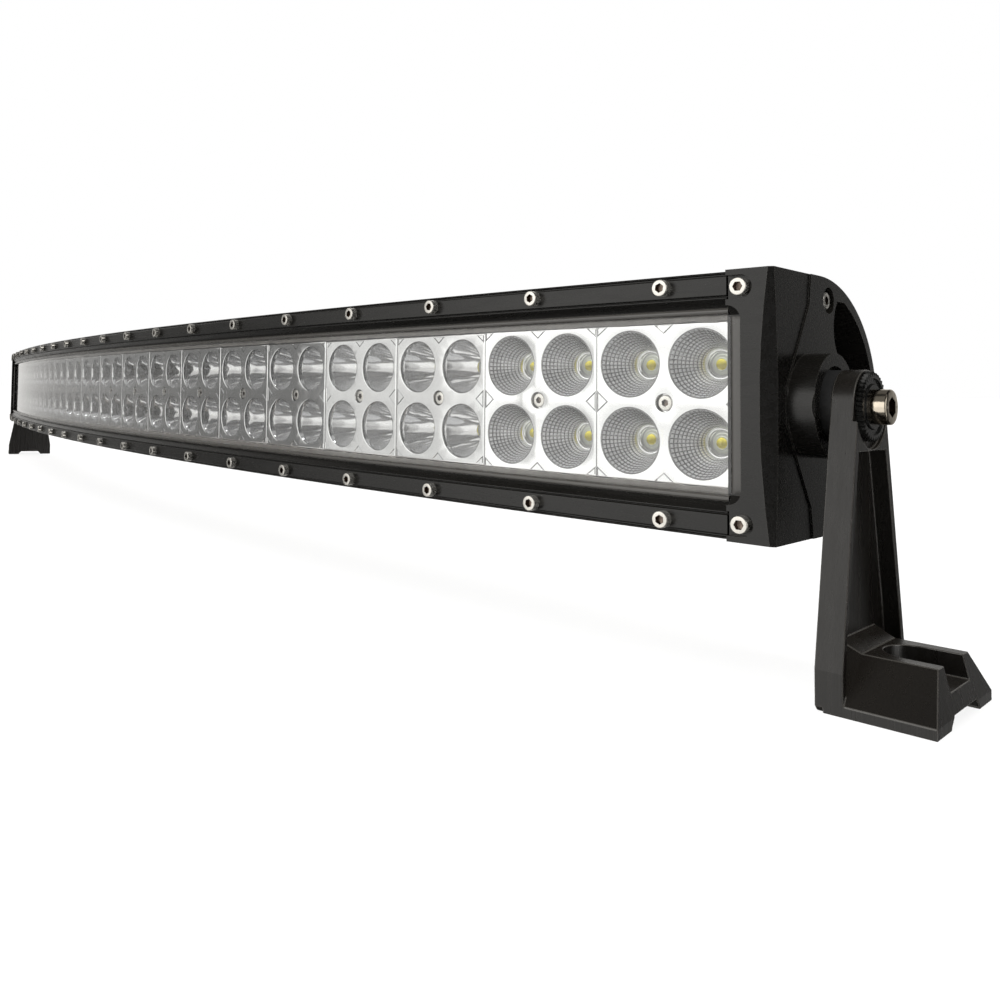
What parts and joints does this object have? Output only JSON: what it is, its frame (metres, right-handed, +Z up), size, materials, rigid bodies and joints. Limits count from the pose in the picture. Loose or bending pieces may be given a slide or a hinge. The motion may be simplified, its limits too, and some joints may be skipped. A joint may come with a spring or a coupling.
{
  "type": "led light bar",
  "caption": "Curved off-road LED light bar with paired reflector cups behind a clear lens, screwed bezels, finned rear, end caps and tilting slotted mounting feet.",
  "frame": {"origin": "centre of the bar between its two bracket feet, on the plane that the feet stand on", "axes": "+X along the bar to its right end seen from the front, +Y to the finned rear with the lens facing -Y, +Z up"},
  "size_m": [1.099, 0.125, 0.1205],
  "materials": {
    "housing_black": "satin black powder coat",
    "bracket_black": "satin black coat on a cast arm",
    "disc_black": "black oxide",
    "stainless": "bright turned steel",
    "clear_lens": "clear polycarbonate",
    "rubber": "matte silicone",
    "reflector_metallised": "vacuum-metallised bright plastic",
    "circuit_board": "white solder mask",
    "led_chip": "yellow phosphor under a clear dome",
    "driver_case": "potted module",
    "lead_insulation": "soft PVC",
    "black_nylon": "moulded nylon"
  },
  "bodies": {
    "light_bar": {"housing": "housing_black", "top_bezel": "housing_black", "bottom_bezel": "housing_black", "right_end_cap": "housing_black", "left_end_cap": "housing_black", "lens": "clear_lens", "lens_gasket": "rubber", "right_cap_gasket": "rubber", "left_cap_gasket": "rubber", "right_pivot_seal": "rubber", "left_pivot_seal": "rubber", "gland_seal": "rubber", "top_bezel_screws": "stainless", "bottom_bezel_screws": "stainless", "right_cap_screws": "stainless", "left_cap_screws": "stainless", "reflector_screws": "stainless", "right_pivot_bolt": "stainless", "left_pivot_bolt": "stainless", "breather_vent": "black_nylon", "gland_body": "black_nylon", "gland_nut": "black_nylon", "supply_leads": "lead_insulation", "reflector_01": "reflector_metallised", "reflector_02": "reflector_metallised", "reflector_03": "reflector_metallised", "reflector_04": "reflector_metallised", "reflector_05": "reflector_metallised", "reflector_06": "reflector_metallised", "reflector_07": "reflector_metallised", "reflector_08": "reflector_metallised", "reflector_09": "reflector_metallised", "reflector_10": "reflector_metallised", "reflector_11": "reflector_metallised", "reflector_12": "reflector_metallised", "reflector_13": "reflector_metallised", "reflector_14": "reflector_metallised", "reflector_15": "reflector_metallised", "reflector_16": "reflector_metallised", "reflector_17": "reflector_metallised", "reflector_18": "reflector_metallised", "reflector_19": "reflector_metallised", "reflector_20": "reflector_metallised", "led_board_1": "circuit_board", "led_chips_1": "led_chip", "led_board_2": "circuit_board", "led_chips_2": "led_chip", "led_board_3": "circuit_board", "led_chips_3": "led_chip", "led_board_4": "circuit_board", "led_chips_4": "led_chip", "driver_module_right": "driver_case", "driver_module_left": "driver_case"},
    "right_bracket": {"right_bracket": "bracket_black", "right_grip_disc": "disc_black"},
    "left_bracket": {"left_bracket": "bracket_black", "left_grip_disc": "disc_black"}
  },
  "joints": [
    {"name": "right_bracket_tilt", "type": "hinge", "parent": "light_bar", "child": "right_bracket", "pos_m": [0.49166, 0.00614, 0.0811], "axis": [0.9838, 0.179, 0], "continuous": true},
    {"name": "left_bracket_tilt", "type": "hinge", "parent": "light_bar", "child": "left_bracket", "pos_m": [-0.49166, 0.00614, 0.0811], "axis": [0.9838, -0.179, 0], "continuous": true}
  ]
}
